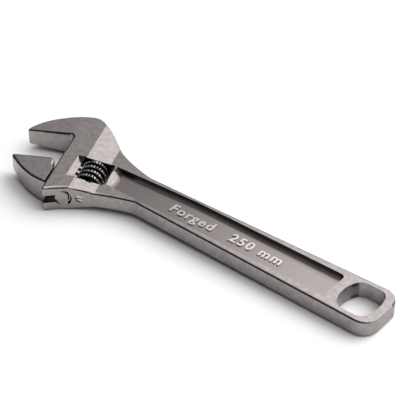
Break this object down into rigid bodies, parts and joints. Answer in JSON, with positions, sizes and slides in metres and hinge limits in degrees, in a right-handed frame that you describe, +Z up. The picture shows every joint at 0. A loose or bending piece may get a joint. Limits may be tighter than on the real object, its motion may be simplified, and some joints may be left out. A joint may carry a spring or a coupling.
{
  "type": "adjustable wrench",
  "caption": "Adjustable open-end wrench with a sliding lower jaw moved by a knurled thumb screw, a recessed flat handle and a hanging hole.",
  "frame": {"origin": "bottom centre of the bounding box, with the wrench lying flat", "axes": "+X along the handle to the hanging hole, +Y to the fixed jaw's side, +Z up through the thickness"},
  "size_m": [0.2574, 0.0715, 0.016],
  "materials": {
    "satin_steel": "satin nickel-chrome plating on forged steel",
    "satin_steel_jaw": "satin nickel-chrome plating on forged steel, machined shank",
    "dark_worm": "black oxide steel with worn bright crests",
    "bright_pin": "zinc plated steel",
    "spring_steel": "spring wire"
  },
  "bodies": {
    "wrench_body": {"body": "satin_steel", "worm_pin": "bright_pin", "worm_spring": "spring_steel"},
    "jaw": {"movable_jaw": "satin_steel_jaw"},
    "thumb_screw": {"worm": "dark_worm"}
  },
  "joints": [
    {"name": "jaw_slide", "type": "slide", "parent": "wrench_body", "child": "jaw", "axis": [-0.3827, 0.9239, 0], "range_m": [-0.0056, 0.0243]},
    {"name": "worm_spin", "type": "hinge", "parent": "wrench_body", "child": "thumb_screw", "pos_m": [-0.0696, -0.00578, 0.008], "axis": [-0.3827, 0.9239, 0], "range_deg": [-2040, 475]}
  ],
  "couplings": [
    {"joint": "worm_spin", "follows": "jaw_slide", "rad_per_m": -1461.2}
  ]
}
